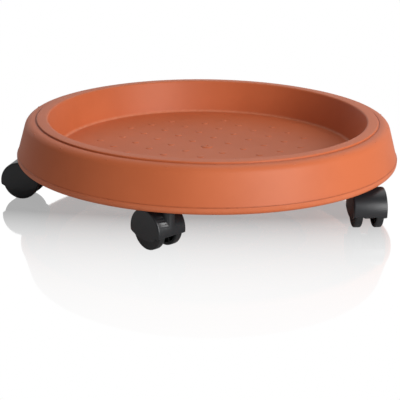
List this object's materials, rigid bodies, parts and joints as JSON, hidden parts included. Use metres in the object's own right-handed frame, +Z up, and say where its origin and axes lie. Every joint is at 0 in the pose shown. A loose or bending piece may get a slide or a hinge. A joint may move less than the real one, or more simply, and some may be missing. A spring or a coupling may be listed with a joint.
{
  "type": "plant caddy",
  "caption": "Round rolling plant caddy: a shallow moulded tray with a raised hollow rim, carried on swivelling twin-wheel casters under the rim.",
  "frame": {"origin": "on the tray's axis, in the plane of the tops of the floor's raised marks, where the pot stands", "axes": "+Z up, out of the tray; +X to the right and +Y away from the viewer in the picture"},
  "size_m": [0.3951, 0.38, 0.082],
  "materials": {
    "tray": "terracotta-coloured moulded polypropylene, satin with a fine grain",
    "hood": "black moulded nylon, satin",
    "wheel": "black hard plastic, satin",
    "stem": "zinc-plated steel",
    "axle": "drawn steel pin",
    "grip_ring": "spring steel"
  },
  "bodies": {
    "tray": {"tray": "tray", "caster_1_grip_ring": "grip_ring", "caster_2_grip_ring": "grip_ring", "caster_3_grip_ring": "grip_ring", "caster_4_grip_ring": "grip_ring", "caster_5_grip_ring": "grip_ring"},
    "caster_1": {"caster_1_hood": "hood", "caster_1_stem": "stem", "caster_1_axle": "axle"},
    "caster_1_wheel_left": {"caster_1_wheel_left": "wheel"},
    "caster_1_wheel_right": {"caster_1_wheel_right": "wheel"},
    "caster_2": {"caster_2_hood": "hood", "caster_2_stem": "stem", "caster_2_axle": "axle"},
    "caster_2_wheel_left": {"caster_2_wheel_left": "wheel"},
    "caster_2_wheel_right": {"caster_2_wheel_right": "wheel"},
    "caster_3": {"caster_3_hood": "hood", "caster_3_stem": "stem", "caster_3_axle": "axle"},
    "caster_3_wheel_left": {"caster_3_wheel_left": "wheel"},
    "caster_3_wheel_right": {"caster_3_wheel_right": "wheel"},
    "caster_4": {"caster_4_hood": "hood", "caster_4_stem": "stem", "caster_4_axle": "axle"},
    "caster_4_wheel_left": {"caster_4_wheel_left": "wheel"},
    "caster_4_wheel_right": {"caster_4_wheel_right": "wheel"},
    "caster_5": {"caster_5_hood": "hood", "caster_5_stem": "stem", "caster_5_axle": "axle"},
    "caster_5_wheel_left": {"caster_5_wheel_left": "wheel"},
    "caster_5_wheel_right": {"caster_5_wheel_right": "wheel"}
  },
  "joints": [
    {"name": "caster_1_swivel", "type": "hinge", "parent": "tray", "child": "caster_1", "pos_m": [-0.16917, -0.02047, -0.0311], "axis": [0, 0, 1], "continuous": true},
    {"name": "caster_1_wheel_left_spin", "type": "hinge", "parent": "caster_1", "child": "caster_1_wheel_left", "pos_m": [-0.18278, -0.01765, -0.0311], "axis": [0.2028, 0.9792, 0], "continuous": true},
    {"name": "caster_1_wheel_right_spin", "type": "hinge", "parent": "caster_1", "child": "caster_1_wheel_right", "pos_m": [-0.18278, -0.01765, -0.0311], "axis": [0.2028, 0.9792, 0], "continuous": true},
    {"name": "caster_2_swivel", "type": "hinge", "parent": "tray", "child": "caster_2", "pos_m": [-0.03281, -0.16721, -0.0311], "axis": [0, 0, 1], "continuous": true},
    {"name": "caster_2_wheel_left_spin", "type": "hinge", "parent": "caster_2", "child": "caster_2_wheel_left", "pos_m": [-0.0423, -0.15706, -0.0311], "axis": [0.7302, 0.6833, 0], "continuous": true},
    {"name": "caster_2_wheel_right_spin", "type": "hinge", "parent": "caster_2", "child": "caster_2_wheel_right", "pos_m": [-0.0423, -0.15706, -0.0311], "axis": [0.7302, 0.6833, 0], "continuous": true},
    {"name": "caster_3_swivel", "type": "hinge", "parent": "tray", "child": "caster_3", "pos_m": [0.14889, -0.08287, -0.0311], "axis": [0, 0, 1], "continuous": true},
    {"name": "caster_3_wheel_left_spin", "type": "hinge", "parent": "caster_3", "child": "caster_3_wheel_left", "pos_m": [0.14986, -0.09674, -0.0311], "axis": [-0.9976, -0.0698, 0], "continuous": true},
    {"name": "caster_3_wheel_right_spin", "type": "hinge", "parent": "caster_3", "child": "caster_3_wheel_right", "pos_m": [0.14986, -0.09674, -0.0311], "axis": [-0.9976, -0.0698, 0], "continuous": true},
    {"name": "caster_4_swivel", "type": "hinge", "parent": "tray", "child": "caster_4", "pos_m": [0.12483, 0.11599, -0.0311], "axis": [0, 0, 1], "continuous": true},
    {"name": "caster_4_wheel_left_spin", "type": "hinge", "parent": "caster_4", "child": "caster_4_wheel_left", "pos_m": [0.12007, 0.10293, -0.0311], "axis": [-0.9397, 0.342, 0], "continuous": true},
    {"name": "caster_4_wheel_right_spin", "type": "hinge", "parent": "caster_4", "child": "caster_4_wheel_right", "pos_m": [0.12007, 0.10293, -0.0311], "axis": [-0.9397, 0.342, 0], "continuous": true},
    {"name": "caster_5_swivel", "type": "hinge", "parent": "tray", "child": "caster_5", "pos_m": [-0.07174, 0.15456, -0.0311], "axis": [0, 0, 1], "continuous": true},
    {"name": "caster_5_wheel_left_spin", "type": "hinge", "parent": "caster_5", "child": "caster_5_wheel_left", "pos_m": [-0.05905, 0.16021, -0.0311], "axis": [0.4067, -0.9135, 0], "continuous": true},
    {"name": "caster_5_wheel_right_spin", "type": "hinge", "parent": "caster_5", "child": "caster_5_wheel_right", "pos_m": [-0.05905, 0.16021, -0.0311], "axis": [0.4067, -0.9135, 0], "continuous": true}
  ]
}
